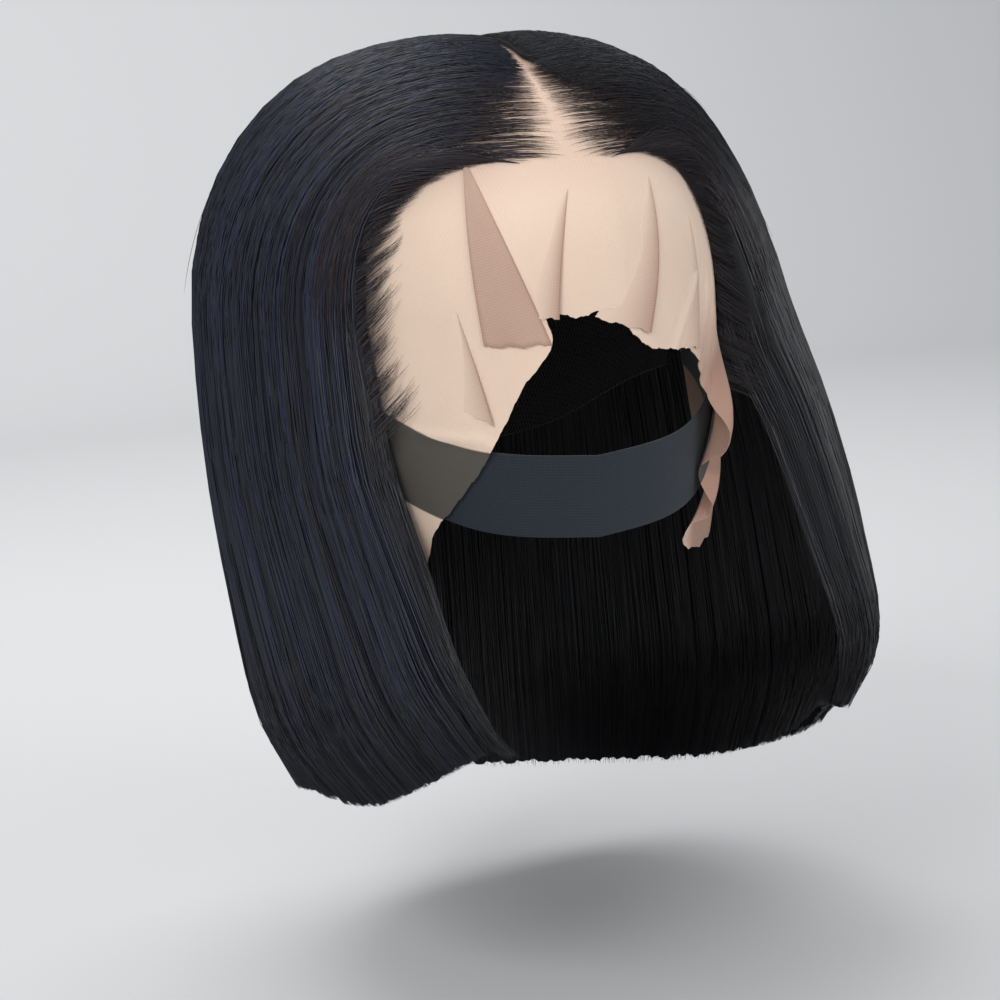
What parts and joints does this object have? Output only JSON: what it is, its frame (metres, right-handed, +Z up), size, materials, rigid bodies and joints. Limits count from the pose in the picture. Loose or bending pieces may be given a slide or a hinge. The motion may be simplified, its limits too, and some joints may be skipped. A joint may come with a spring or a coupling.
{
  "type": "lace-front bob wig",
  "caption": "Straight centre-parted bob wig with curled-in ends, a net cap, an untrimmed lace front and an elastic band across the brow.",
  "frame": {"origin": "inside of the cap at the top of the crown, where it sits on the head", "axes": "+Z up, the face side looks along -Y, the wearer's right is at -X"},
  "size_m": [0.2423, 0.219, 0.3045],
  "materials": {
    "cap_net": "matte open net",
    "lace": "sheer fine net, matte",
    "elastic": "knitted, matte",
    "hair": "silky straight strands"
  },
  "bodies": {
    "root": {"wig_cap": "cap_net", "lace_front": "lace", "elastic_band": "elastic", "hair_right": "hair", "hair_left": "hair", "hair_back": "hair"}
  },
  "joints": []
}
